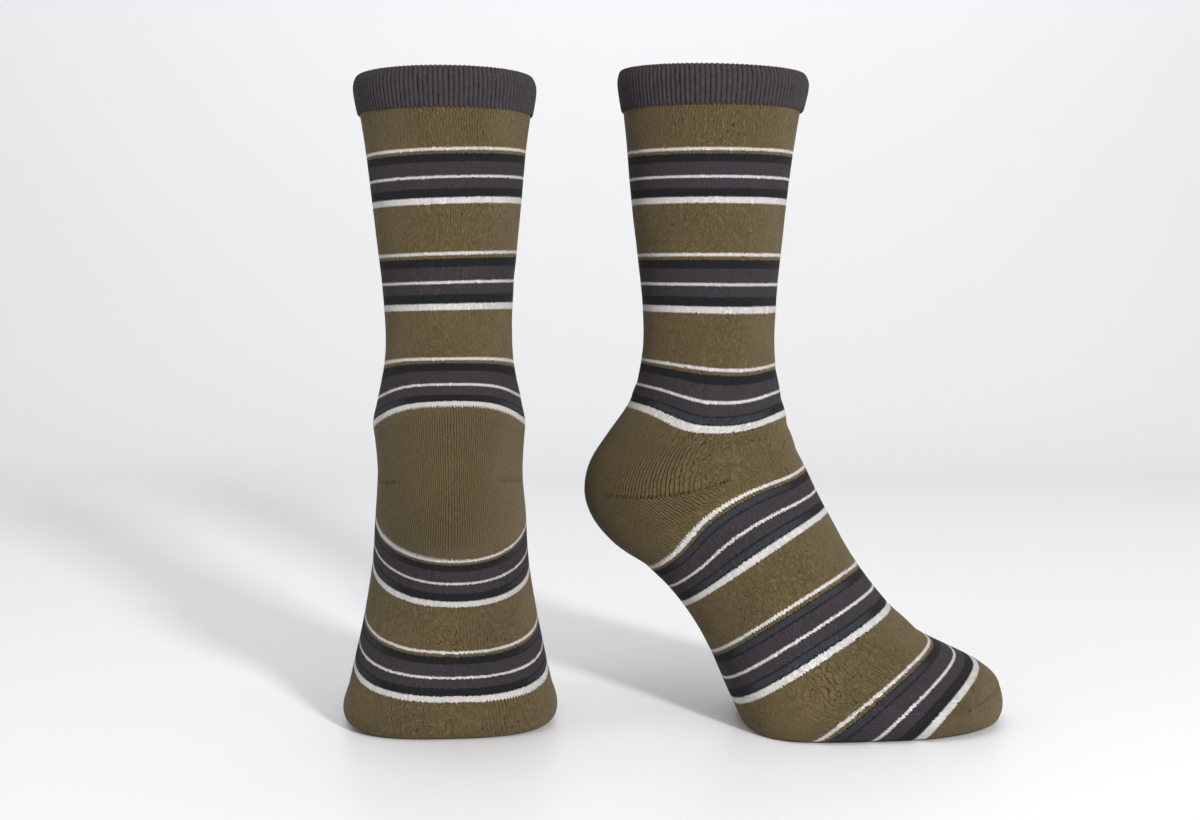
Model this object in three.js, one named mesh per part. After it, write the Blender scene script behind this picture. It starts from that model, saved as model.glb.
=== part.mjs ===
// A pair of calf-length knitted socks, filled out as when worn, each standing on the ball of the foot.
// Millimetres, +Z up. The origin is on the leg axis of the side-on sock, inside its ribbed cuff.
import * as THREE from "three";

// Driving sizes.
const wallThickness = 1.2; // of the knitting
const seamGap = 0.3; // between neighbouring pieces
const soleEdge = 4; // softness of the edge where the sole is pressed flat
const rimHeight = 343.9; // top of the cuff above the floor
const holdDepth = 12; // the leg grips the cuff this far below the rim
const sideStep = 134; // from one leg axis to the other, across the view
const depthStep = 40; // the left sock stands this much nearer the viewer
const heelOnSplay = 5.5; // degrees that its toes point outwards
const leanStart = 188.5; // height above the floor where a leg's lean begins

// The two socks are alike, and each has a pose of its own. pointed and lean are in degrees: the foot turns
// down at the ankle and back at the ball, and the leg leans sideways. legLength is the leg's stretch.
const poses = {
  right: { pointed: 0, legLength: 1, lean: 0 },
  left: { pointed: 10, legLength: 0.927, lean: 0.6 },
};
const ankleTurn = { x: 10, z: 153.5, from: 150, to: 203 }; // centre, and the courses that bend round it
const ballTurn = { x: 60, z: 18.5, from: 285, to: 340 };

// Knitting counts.
const ribCount = 120; // ribs round the cuff
const ribDepth = 0.8; // from a rib's crest to the valley beside it
const panelColumns = 32; // facets round the leg and foot

// Colours read off the yarns.
const olive = 0x70643f;
const charcoal = 0x4b474b;

// The sock is a loft through slanting rings. Each ring is held by the two points where it crosses the side
// outline: back (Achilles, heel, then sole) and front (shin, instep, then toes), in the sock's own frame with
// X towards the toes, Z up from the floor and the leg axis at X 0.
// course   knitted rows counted down from the cuff's lower edge
// half     half of the ring's width, across the foot
// lean     moves the widest place towards the front (+) or the back (-)
// full     2 is an ellipse, more is squarer
// sag      courses by which the knitting hangs lower at the sides
// swing    degrees by which the side wales move forward, towards the heel's turning point
// sweepX, sweepZ  how far the ring's sides lie from its middle plane, for the rounded toe
const columns = [
  "course", "backX", "backZ", "frontX", "frontZ", "half", "lean", "full", "sag", "swing", "sweepX", "sweepZ",
];
const rings = {
  rim: [-22, -46.9, 343.9, 48.2, 341.9, 43.2, 0, 2.05, 0, 0, 0, 0],
  cuffWidest: [-15, -47.7, 337.5, 50.2, 336.3, 44.7, 0, 2.05, 0, 0, 0, 0],
  cuffFoot: [-1, -45.7, 323.6, 47.5, 323.4, 42.8, 0, 2.05, 0, 0, 0, 0],
  legTop: [0, -45.5, 322.6, 46.8, 322.6, 42.5, 0, 2.05, 0, 0, 0, 0],
  bandOneTop: [23, -43.4, 303.2, 43.7, 303.2, 39.9, 0, 2.05, 0, 0, 0, 0],
  bandOneFoot: [55, -41, 274.5, 39.8, 274.5, 37.2, 0, 2.05, 0, 0, 0, 0],
  bandTwoTop: [83, -38.3, 250.3, 37.2, 250.3, 34.8, 0, 2.05, 0, 0, 0, 0],
  bandTwoFoot: [115, -35.3, 219.9, 34.9, 219.1, 32.2, 0, 2.05, 1, 0, 0, 0],
  bandThreeTop: [143, -35.6, 194.9, 34.9, 192.5, 32.2, 0, 2.1, 3.1, 0, 0, 0],
  bandThreeFoot: [175, -43.6, 168.3, 40.5, 163.5, 36.6, 0.02, 2.15, 4.4, 0, 0, 0],
  ankle: [180, -54.1, 153.1, 41.6, 158.9, 38.3, 0.04, 2.2, 3, 12, 0, 0],
  heelHigh: [185, -63.6, 137.2, 43.1, 154.5, 37.2, 0.05, 2.25, 1.4, 20, 0, 0],
  gore: [189, -65.8, 122.5, 44.4, 150.8, 36.3, 0.04, 2.3, 0, 26, 0, 0],
  heelLow: [193, -61.4, 108.5, 45.8, 147.2, 36.2, 0.02, 2.25, -1.5, 20, 0, 0],
  heelFoot: [198, -49.7, 94.7, 47.5, 142.9, 36.9, 0, 2.2, -3.2, 12, 0, 0],
  bandFourTop: [203, -33.5, 84.1, 49.5, 139, 37.9, -0.02, 2.15, -4.9, 0, 0, 0],
  bandFourFoot: [235, -12.9, 62.1, 63.2, 112.3, 40.2, -0.05, 2.2, -8.5, 0, 0, 0],
  bandFiveTop: [263, 0.2, 40, 77.5, 87.1, 44, -0.1, 2.3, -7, 0, 0, 0],
  bandFiveFoot: [295, 12.6, 12.5, 96.7, 62.7, 49.5, -0.18, 2.5, -6, 0, 0, 0],
  ballHeel: [309, 23, -5, 105.9, 54.1, 52.5, -0.2, 2.65, -4, 0, 0, 0],
  bandSixTop: [323, 42, -7.5, 115.3, 45.7, 54, -0.22, 2.7, -3, 0, 0, 0],
  bandSixFoot: [355, 103, -7, 143, 32.5, 48.8, -0.16, 2.6, 0, 0, -5.7, -0.6],
  toeSole: [363, 131, -5.5, 147.6, 29.7, 47.3, -0.07, 2.5, 0, 0, -14.5, 1],
  toeCurl: [370, 151, 0, 150.7, 27.4, 46.2, 0, 2.35, 0, 0, -21.4, 0],
  toeTip: [376, 156.6, 6.5, 152.8, 25.5, 45.2, 0, 2.2, 0, 0, -24, -1.6],
  toeNose: [381, 157.4, 13.5, 154.2, 23.7, 44.5, 0, 2.1, 0, 0, -24.6, -4],
  toeSeam: [385, 155.5, 21.4, 155.5, 21.4, 44, 0, 2, 0, 0, -24, -6],
};

// Courses where the facets' rows lie, and where one piece ends and the next begins.
const courseRows = [
  0, 23, 55, 83, 115, 143, 159, 175, 179, 182.5, 186, 189, 192, 195.5, 199, 203,
  219, 235, 249, 263, 279, 295, 302, 309, 316, 323, 339, 355, 361, 367, 373, 379, 385,
];
const heelStart = 175;
const heelEnd = 203;
const toeStart = 355;
const lastCourse = courseRows[courseRows.length - 1];

const toeEgg = { x: 118, z: 15, long: 37, wide: 50, high: 17 };

// The cuff is a folded welt: a closed profile run round the leg, ribbed on the outside only.
// course as above, out is the distance from the loft's own surface, ribbed is the share of the rib's depth.
const weltProfile = [
  { course: -0.2, out: -0.2, ribbed: 0.3 },
  { course: -1.7, out: 0.7, ribbed: 1 },
  { course: -13, out: 0.7, ribbed: 1 },
  { course: -20.8, out: 0.5, ribbed: 1 },
  { course: -22, out: -0.9, ribbed: 0.3 },
  { course: -20.5, out: -2.1, ribbed: 0 },
  { course: -0.2, out: -1.6, ribbed: 0 },
];

const table = Object.values(rings).map((values) =>
  Object.fromEntries(columns.map((key, i) => [key, values[i]])),
);

// One column of the table at any course: a cubic through the rings, with slopes from their neighbours.
function slope(key, i) {
  const before = table[Math.max(0, i - 1)];
  const after = table[Math.min(table.length - 1, i + 1)];
  return (after[key] - before[key]) / (after.course - before.course);
}

function valueAt(key, i, course) {
  const a = table[i];
  const b = table[i + 1];
  const span = b.course - a.course;
  const t = (course - a.course) / span;
  const t2 = t * t;
  const t3 = t2 * t;
  return (
    a[key] * (2 * t3 - 3 * t2 + 1) +
    slope(key, i) * span * (t3 - 2 * t2 + t) +
    b[key] * (3 * t2 - 2 * t3) +
    slope(key, i + 1) * span * (t3 - t2)
  );
}

function ringInTable(course) {
  const held = THREE.MathUtils.clamp(course, table[0].course, lastCourse);
  let i = 0;
  while (i < table.length - 2 && table[i + 1].course < held) i += 1;
  return Object.fromEntries(columns.map((key) => [key, valueAt(key, i, held)]));
}

// Turns the point x, z about a centre, by an angle that takes +Z towards +X.
function turn(x, z, centre, angle) {
  const dx = x - centre.x;
  const dz = z - centre.z;
  return [
    centre.x + dx * Math.cos(angle) + dz * Math.sin(angle),
    centre.z - dx * Math.sin(angle) + dz * Math.cos(angle),
  ];
}

const powered = (x, full) => Math.sign(x) * Math.abs(x) ** (2 / full);

// What would lie below the floor is pressed flat on it, with a soft edge round the flat place.
function onFloor(z) {
  if (z >= soleEdge) return z;
  if (z <= -soleEdge) return 0;
  return (z + soleEdge) ** 2 / (4 * soleEdge);
}

// The surfaces of one sock in its own frame, in its own pose.
function sockForm(pose) {
  const pointed = THREE.MathUtils.degToRad(pose.pointed);
  const [ballX, ballZ] = turn(ballTurn.x, ballTurn.z, ankleTurn, pointed);
  const ballNow = { x: ballX, z: ballZ };
  const lift = ballTurn.z - ballZ; // keeps the ball of the foot on the floor
  const toeShift = ballX - ballTurn.x;

  function bend(x, z, course) {
    const stretched = z > ankleTurn.z ? ankleTurn.z + (z - ankleTurn.z) * pose.legLength : z;
    const down = pointed * THREE.MathUtils.smoothstep(course, ankleTurn.from, ankleTurn.to);
    const back = -pointed * THREE.MathUtils.smoothstep(course, ballTurn.from, ballTurn.to);
    const [x1, z1] = turn(x, stretched, ankleTurn, down);
    const [x2, z2] = turn(x1, z1, ballNow, back);
    return [x2, z2 + lift];
  }

  function ringAt(course) {
    const ring = ringInTable(course);
    [ring.backX, ring.backZ] = bend(ring.backX, ring.backZ, course);
    [ring.frontX, ring.frontZ] = bend(ring.frontX, ring.frontZ, course);
    return ring;
  }

  // A point of the outer surface. angle is 0 at the front and PI at the back.
  function skin(course, angle) {
    const own = ringInTable(course);
    const turned = angle - THREE.MathUtils.degToRad(own.swing) * Math.sin(angle);
    const side = Math.sin(turned) ** 2;
    const ring = ringAt(course + own.sag * side);
    const along = powered(Math.cos(turned), ring.full);
    const across = powered(Math.sin(turned), ring.full);
    const midX = (ring.backX + ring.frontX) / 2;
    const midZ = (ring.backZ + ring.frontZ) / 2;
    return new THREE.Vector3(
      midX + (ring.frontX - midX) * along + ring.sweepX * side,
      ring.half * across * (1 + ring.lean * along),
      onFloor(midZ + (ring.frontZ - midZ) * along + ring.sweepZ * side),
    );
  }

  // The outward direction, from the surface's own slopes.
  function outward(course, angle) {
    const step = 0.02;
    const down = skin(course + step, angle).sub(skin(course - step, angle));
    const round = skin(course, angle + step).sub(skin(course, angle - step));
    return down.cross(round).normalize();
  }

  const offSkin = (course, angle, out) =>
    skin(course, angle).addScaledVector(outward(course, angle), out);

  // The inside of the knitted wall. In the toe the rings grow too thin to step square from them, so the wall
  // is measured square to an egg shape that fits the toe.
  function lining(course, angle) {
    if (course <= rings.bandSixFoot[0]) return offSkin(course, angle, -wallThickness);
    const p = skin(course, angle);
    const square = new THREE.Vector3(
      (p.x - toeEgg.x - toeShift) / toeEgg.long ** 2,
      p.y / toeEgg.wide ** 2,
      (p.z - toeEgg.z) / toeEgg.high ** 2,
    );
    return p.addScaledVector(square.normalize(), -wallThickness);
  }

  function leaned(p) {
    const above = Math.max(0, p.z - leanStart);
    const eased = (above * above) / (above + 20); // the bend starts softly
    p.y += Math.tan(THREE.MathUtils.degToRad(pose.lean)) * eased;
    return p;
  }

  return { skin, lining, offSkin, leaned };
}

const geometryFrom = (triangles) =>
  new THREE.BufferGeometry().setFromPoints(triangles.flat());

// A closed wall over the chosen cells of the grid of courses and columns. chosen(row, column) says which.
function knitPanel(form, chosen) {
  const lastRow = courseRows.length - 1;
  const n = panelColumns;
  const wrap = (j) => ((j % n) + n) % n;
  const has = (i, j) => i >= 0 && i < lastRow && chosen(i, wrap(j));
  const surface = (place) =>
    courseRows.map((course) =>
      Array.from({ length: n }, (_, j) => place(course, (2 * Math.PI * j) / n)),
    );
  const layers = [surface(form.skin), surface(form.lining)];

  // A point on the panel's edge moves in by half the seam's gap, towards the panel's own cells.
  function vertex(layer, i, j) {
    const around = [[i - 1, j - 1], [i - 1, j], [i, j - 1], [i, j]];
    const own = around.filter(([r, c]) => has(r, c));
    const at = layer[i][wrap(j)].clone();
    const beside = i === lastRow ? 2 : 4;
    if (own.length === beside) return form.leaned(at);
    const centre = new THREE.Vector3();
    own.forEach(([r, c]) => {
      centre.add(layer[r][wrap(c)]).add(layer[r + 1][wrap(c)]);
      centre.add(layer[r][wrap(c + 1)]).add(layer[r + 1][wrap(c + 1)]);
    });
    const inward = centre.divideScalar(4 * own.length).sub(at);
    if (own.length === 2) {
      // along a straight edge only the part square to the edge counts
      const alongRow = own[0][0] === own[1][0];
      const a = alongRow ? layer[i][wrap(j - 1)] : layer[i - 1][wrap(j)];
      const b = alongRow ? layer[i][wrap(j + 1)] : layer[i + 1][wrap(j)];
      const edge = b.clone().sub(a).normalize();
      inward.addScaledVector(edge, -inward.dot(edge));
    }
    const corner = own.length === 2 ? 1 : Math.SQRT2;
    return form.leaned(at.addScaledVector(inward.normalize(), (corner * seamGap) / 2));
  }

  const triangles = [];
  const quad = (a, b, c, d) => triangles.push([a, b, c], [a, c, d]);
  for (let i = 0; i < lastRow; i += 1) {
    for (let j = 0; j < n; j += 1) {
      if (!has(i, j)) continue;
      const [out, inn] = layers.map((layer) => [
        vertex(layer, i, j), vertex(layer, i, j + 1), vertex(layer, i + 1, j + 1), vertex(layer, i + 1, j),
      ]);
      quad(out[0], out[3], out[2], out[1]);
      quad(inn[0], inn[1], inn[2], inn[3]);
      // the edges' facets are split alike on both sides of a seam, so that they run alongside
      if (!has(i - 1, j)) quad(out[1], inn[1], inn[0], out[0]);
      if (!has(i, j + 1)) quad(out[1], out[2], inn[2], inn[1]);
      if (!has(i + 1, j) && i + 1 < lastRow) quad(out[2], out[3], inn[3], inn[2]);
      if (!has(i, j - 1)) quad(out[0], inn[0], inn[3], out[3]);
    }
  }
  return geometryFrom(triangles);
}

// The welt's ribs stand on its outer points, a crest and a valley for each rib.
function cuffGeometry(form) {
  const n = 2 * ribCount;
  const point = (step, j) => {
    const { course, out, ribbed } = weltProfile[step % weltProfile.length];
    const rib = (j % 2 === 0 ? 0.5 : -0.5) * ribDepth * ribbed;
    return form.leaned(form.offSkin(course, (2 * Math.PI * j) / n, out + rib));
  };
  const triangles = [];
  for (let k = 0; k < weltProfile.length; k += 1) {
    for (let j = 0; j < n; j += 1) {
      const [a, b, c, d] = [point(k, j), point(k, (j + 1) % n), point(k + 1, (j + 1) % n), point(k + 1, j)];
      triangles.push([a, b, c], [a, c, d]);
    }
  }
  return geometryFrom(triangles);
}

// Which cells each piece of the knitting covers. The heel pocket is the back half of the turning rows, and
// the front half of them is the instep, knitted on with the foot.
const courseOf = (row) => courseRows[row];
const isBack = (column) => column >= panelColumns / 4 && column < (3 * panelColumns) / 4;
const turning = (row) => courseOf(row) >= heelStart && courseOf(row) < heelEnd;
const pieces = {
  leg: (row) => courseOf(row) < heelStart,
  heel: (row, column) => turning(row) && isBack(column),
  foot: (row, column) =>
    (turning(row) && !isBack(column)) || (courseOf(row) >= heelEnd && courseOf(row) < toeStart),
  toe: (row) => courseOf(row) >= toeStart,
};

const yarn = (colour) => new THREE.MeshStandardMaterial({ color: colour, roughness: 0.9, metalness: 0 });

function makeSock(name) {
  const sock = new THREE.Group();
  const form = sockForm(poses[name]);
  const add = (piece, geometry, colour) => {
    geometry.computeVertexNormals();
    const mesh = new THREE.Mesh(geometry, yarn(colour));
    mesh.name = `${name}_${piece}`;
    sock.add(mesh);
  };
  add("cuff", cuffGeometry(form), charcoal);
  Object.entries(pieces).forEach(([piece, chosen]) => add(piece, knitPanel(form, chosen), olive));
  return sock;
}

const sideOn = makeSock("right"); // seen from its side, toes along +X
const heelOn = makeSock("left"); // seen from behind, toes along +Y
heelOn.rotation.z = THREE.MathUtils.degToRad(90 + heelOnSplay);
heelOn.position.set(-sideStep, -depthStep, 0);

const pair = new THREE.Group();
pair.add(sideOn, heelOn);
pair.position.z = holdDepth - rimHeight;

const part = new THREE.Group();
part.add(pair);
export default part;
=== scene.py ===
# Looks of a pair of knitted socks, filled out as when worn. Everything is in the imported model's frame.
import math
import bmesh
import bpy
import numpy as np
from mathutils import Matrix, Vector, noise


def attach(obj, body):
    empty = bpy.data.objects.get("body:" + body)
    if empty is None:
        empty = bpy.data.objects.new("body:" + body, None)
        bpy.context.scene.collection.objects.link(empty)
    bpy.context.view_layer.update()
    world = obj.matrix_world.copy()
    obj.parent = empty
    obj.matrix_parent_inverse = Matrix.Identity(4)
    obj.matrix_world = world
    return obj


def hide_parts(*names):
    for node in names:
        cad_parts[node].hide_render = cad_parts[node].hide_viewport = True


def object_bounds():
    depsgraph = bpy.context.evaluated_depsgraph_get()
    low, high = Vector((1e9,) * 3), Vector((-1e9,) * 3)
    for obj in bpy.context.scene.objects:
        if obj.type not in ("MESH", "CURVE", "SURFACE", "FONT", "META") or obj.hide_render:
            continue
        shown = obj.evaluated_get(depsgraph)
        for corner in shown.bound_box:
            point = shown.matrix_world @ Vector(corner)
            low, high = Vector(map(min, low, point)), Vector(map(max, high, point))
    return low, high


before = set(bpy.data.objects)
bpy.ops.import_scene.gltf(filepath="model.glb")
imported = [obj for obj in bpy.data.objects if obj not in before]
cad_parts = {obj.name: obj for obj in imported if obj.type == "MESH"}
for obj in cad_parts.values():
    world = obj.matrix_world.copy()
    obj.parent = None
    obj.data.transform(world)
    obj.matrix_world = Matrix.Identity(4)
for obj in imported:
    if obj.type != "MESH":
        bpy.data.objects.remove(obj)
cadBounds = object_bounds()
mm = 0.001
floorZ = cadBounds[0][2]  # the soles rest on it
print("frame loaded, floor at", round(floorZ, 4))

# The sock's form: slanting rings, held by where they cross the side outline. In the sock's own frame, mm:
# X to the toes, Z up from the floor. half is half the width, lean moves the widest place forwards, full is
# the squareness, sag says how many courses lower the knitting hangs at the sides, sweep rounds the toe.
ringColumns = "course backX backZ frontX frontZ half lean full sag sweepX sweepZ".split()
sockRings = np.array([
    (-22, -46.9, 343.9, 48.2, 341.9, 43.2, 0, 2.05, 0, 0, 0),  # rim
    (-15, -47.7, 337.5, 50.2, 336.3, 44.7, 0, 2.05, 0, 0, 0),
    (-1, -45.7, 323.6, 47.5, 323.4, 42.8, 0, 2.05, 0, 0, 0),
    (0, -45.5, 322.6, 46.8, 322.6, 42.5, 0, 2.05, 0, 0, 0),  # top of the leg
    (23, -43.4, 303.2, 43.7, 303.2, 39.9, 0, 2.05, 0, 0, 0),
    (55, -41, 274.5, 39.8, 274.5, 37.2, 0, 2.05, 0, 0, 0),
    (83, -38.3, 250.3, 37.2, 250.3, 34.8, 0, 2.05, 0, 0, 0),
    (115, -35.3, 219.9, 34.9, 219.1, 32.2, 0, 2.05, 0.4, 0, 0),
    (143, -35.6, 194.9, 34.9, 192.5, 32.2, 0, 2.1, 3.1, 0, 0),
    (175, -43.6, 168.3, 40.5, 163.5, 36.6, 0.02, 2.15, 5.2, 0, 0),  # ankle
    (180, -54.1, 153.1, 41.6, 158.9, 38.3, 0.04, 2.2, 5, 0, 0),
    (185, -63.6, 137.2, 43.1, 154.5, 37.2, 0.05, 2.25, 4.7, 0, 0),
    (189, -65.8, 122.5, 44.4, 150.8, 36.3, 0.04, 2.3, 4.4, 0, 0),  # heel
    (193, -61.4, 108.5, 45.8, 147.2, 36.2, 0.02, 2.25, 1.4, 0, 0),
    (198, -49.7, 94.7, 47.5, 142.9, 36.9, 0, 2.2, -2, 0, 0),
    (203, -33.5, 84.1, 49.5, 139, 37.9, -0.02, 2.15, -5.6, 0, 0),
    (235, -12.9, 62.1, 63.2, 112.3, 40.2, -0.05, 2.2, -5, 0, 0),  # arch
    (263, 0.2, 40, 77.5, 87.1, 44, -0.1, 2.3, -6.2, 0, 0),
    (295, 12.6, 12.5, 96.7, 62.7, 49.5, -0.18, 2.5, -4, 0, 0),
    (309, 23, -5, 105.9, 54.1, 52.5, -0.2, 2.65, -4, 0, 0),
    (323, 42, -7.5, 115.3, 45.7, 54, -0.22, 2.7, -5.6, 0, 0),  # ball
    (355, 103, -7, 143, 32.5, 48.8, -0.16, 2.6, 0, -5.7, -0.6),
    (363, 131, -5.5, 147.6, 29.7, 47.3, -0.07, 2.5, 0, -14.5, 1),
    (370, 151, 0, 150.7, 27.4, 46.2, 0, 2.35, 0, -21.4, 0),
    (376, 156.6, 6.5, 152.8, 25.5, 45.2, 0, 2.2, 0, -24, -1.6),
    (381, 157.4, 13.5, 154.2, 23.7, 44.5, 0, 2.1, 0, -24.6, -4),
    (385, 155.5, 21.4, 155.5, 21.4, 44, 0, 2, 0, -24, -6),  # toe seam
], dtype=float)
ringCourses = sockRings[:, 0]

# Each sock's pose and place. Angles in degrees: the foot turns down at the ankle and back at the ball.
# footSag is the share of the sag at the arch and at the ball, stripeTilt how much lower the stripes lie at
# one side, on the leg and on the foot, and stripeDrop how much lower each of the stripes' lines lies, in
# courses: each sock is pulled on differently.
socks = {
    "right": {
        "pointed": 0, "legLength": 1, "lean": 0, "place": (0, 0), "facing": 0,
        "footSag": (1, 1), "stripeTilt": (0, 0),
        "stripeDrop": [0, 1.8, 0.8, 1.7, 1.2, 0.9, -0.5, 1.2, 0.1, 1.3, 0.9, 1.8, 0.6, 0],
    },
    "left": {
        "pointed": 10, "legLength": 0.927, "lean": 0.6, "place": (-134, -40), "facing": 95.5,
        "footSag": (-0.4, 0), "stripeTilt": (1.6, -1.7),
        "stripeDrop": [0, 0.8, 0.9, 1.5, 1.4, 1.1, 1.9, -0.1, 0.8, 0.7, -1.3, 0, 0, 0],
    },
}
posing = {
    "ankleTurn": {"x": 10, "z": 153.5, "from": 150, "to": 203},
    "ballTurn": {"x": 60, "z": 18.5, "from": 285, "to": 340},
    "soleEdge": 4,  # softness of the edge where the sole is pressed flat
    "leanStart": 188.5,  # height over the floor where a leg begins to lean, mm
    "leanEasing": 20,
}
heelTurn = {"course": 189, "degrees": 16, "fade": 8}  # how far wales shift back at the heel's turning line
sagging = {
    "onFoot": (192, 203),  # courses over which a sock's own share of the sag comes in
    "archToBall": (215, 265),
    "pocketLean": 0.243,  # the heel's pocket hangs fullest this much further forwards
    "pocketPower": 3,  # how narrow the sag is at the sides, at the heel and on the foot
    "footPower": 1.2,
    "pocketToFoot": (203, 235),
}


def tableSlopes():
    before = np.concatenate([sockRings[:1], sockRings[:-1]])
    after = np.concatenate([sockRings[1:], sockRings[-1:]])
    return (after - before) / (after[:, :1] - before[:, :1])


ringSlopes = tableSlopes()


def cubic(first, second, firstSlope, secondSlope, span, t):  # a smooth run from the first to the second
    return (
        first * (2 * t**3 - 3 * t**2 + 1)
        + firstSlope * span * (t**3 - 2 * t**2 + t)
        + second * (3 * t**2 - 2 * t**3)
        + secondSlope * span * (t**3 - t**2)
    )


def ringAt(courses):  # the table's values at any course
    held = np.clip(courses, ringCourses[0], ringCourses[-1])
    i = np.clip(np.searchsorted(ringCourses, held, side="right") - 1, 0, len(ringCourses) - 2)
    span = (ringCourses[i + 1] - ringCourses[i])[..., None]
    t = (held - ringCourses[i])[..., None] / span
    values = cubic(sockRings[i], sockRings[i + 1], ringSlopes[i], ringSlopes[i + 1], span, t)
    return {name: values[..., k] for k, name in enumerate(ringColumns)}


def smoothStep(x, low, high):
    t = np.clip((x - low) / (high - low), 0, 1)
    return t * t * (3 - 2 * t)


def turn(x, z, centreX, centreZ, angle):  # takes +Z towards +X
    dx, dz = x - centreX, z - centreZ
    return (
        centreX + dx * np.cos(angle) + dz * np.sin(angle),
        centreZ - dx * np.sin(angle) + dz * np.cos(angle),
    )


def bend(x, z, courses, sock):
    ankle, ball = posing["ankleTurn"], posing["ballTurn"]
    pointed = math.radians(sock["pointed"])
    ballX, ballZ = turn(ball["x"], ball["z"], ankle["x"], ankle["z"], pointed)
    stretched = np.where(z > ankle["z"], ankle["z"] + (z - ankle["z"]) * sock["legLength"], z)
    down = pointed * smoothStep(courses, ankle["from"], ankle["to"])
    back = -pointed * smoothStep(courses, ball["from"], ball["to"])
    x, z = turn(x, stretched, ankle["x"], ankle["z"], down)
    x, z = turn(x, z, ballX, ballZ, back)
    return x, z + ball["z"] - ballZ


def powered(x, full):
    return np.sign(x) * np.abs(x) ** (2 / full)


def sagShape(courses, angles):  # 1 at the sides, 0 at front and back
    leant = angles + sagging["pocketLean"] * np.sin(angles)
    pocket = np.abs(np.sin(leant)) ** sagging["pocketPower"]
    foot = np.abs(np.sin(angles)) ** sagging["footPower"]
    share = smoothStep(courses, *sagging["pocketToFoot"])
    return pocket * (1 - share) + foot * share


def skin(courses, angles, sock):  # points of the outside, angle 0 at the front
    own = ringAt(courses)
    near = np.exp(-np.abs(courses - heelTurn["course"]) / heelTurn["fade"])
    shift = near * math.radians(heelTurn["degrees"])
    turned = angles + shift * np.sin(angles) * (0.5 - 0.5 * np.cos(angles))
    side = np.sin(turned) ** 2
    onFoot = smoothStep(courses, *sagging["onFoot"])
    atArch, atBall = sock["footSag"]
    share = atArch + (atBall - atArch) * smoothStep(courses, *sagging["archToBall"])
    sag = own["sag"] * (1 - onFoot + onFoot * share)
    hung = courses + sag * sagShape(courses, turned)
    ring = ringAt(hung)
    hung = np.clip(hung, ringCourses[0], ringCourses[-1])
    backX, backZ = bend(ring["backX"], ring["backZ"], hung, sock)
    frontX, frontZ = bend(ring["frontX"], ring["frontZ"], hung, sock)
    along = powered(np.cos(turned), ring["full"])
    across = powered(np.sin(turned), ring["full"])
    midX, midZ = (backX + frontX) / 2, (backZ + frontZ) / 2
    x = midX + (frontX - midX) * along + ring["sweepX"] * side
    y = ring["half"] * across * (1 + ring["lean"] * along)
    z = midZ + (frontZ - midZ) * along + ring["sweepZ"] * side
    edge = posing["soleEdge"]
    pressed = np.where(z <= -edge, 0, (z + edge) ** 2 / (4 * edge))
    return np.stack([x, y, np.where(z >= edge, z, pressed)], axis=-1)


def outward(courses, angles, sock):  # square to the skin
    step = 0.02
    near = np.clip(courses, ringCourses[0] + step, ringCourses[-1] - step)
    down = skin(near + step, angles, sock) - skin(near - step, angles, sock)
    across = skin(near, angles + step, sock) - skin(near, angles - step, sock)
    square = np.cross(down, across)
    return square / np.maximum(np.linalg.norm(square, axis=-1, keepdims=True), 1e-9)


def intoPlace(points, sock):  # from the sock's own frame, mm, to the model's, m
    above = np.maximum(0, points[..., 2] - posing["leanStart"])
    y = points[..., 1] + math.tan(math.radians(sock["lean"])) * above**2 / (above + posing["leanEasing"])
    facing = math.radians(sock["facing"])
    x = points[..., 0] * math.cos(facing) - y * math.sin(facing) + sock["place"][0]
    y = points[..., 0] * math.sin(facing) + y * math.cos(facing) + sock["place"][1]
    return np.stack([x * mm, y * mm, points[..., 2] * mm + floorZ], axis=-1)


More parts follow.
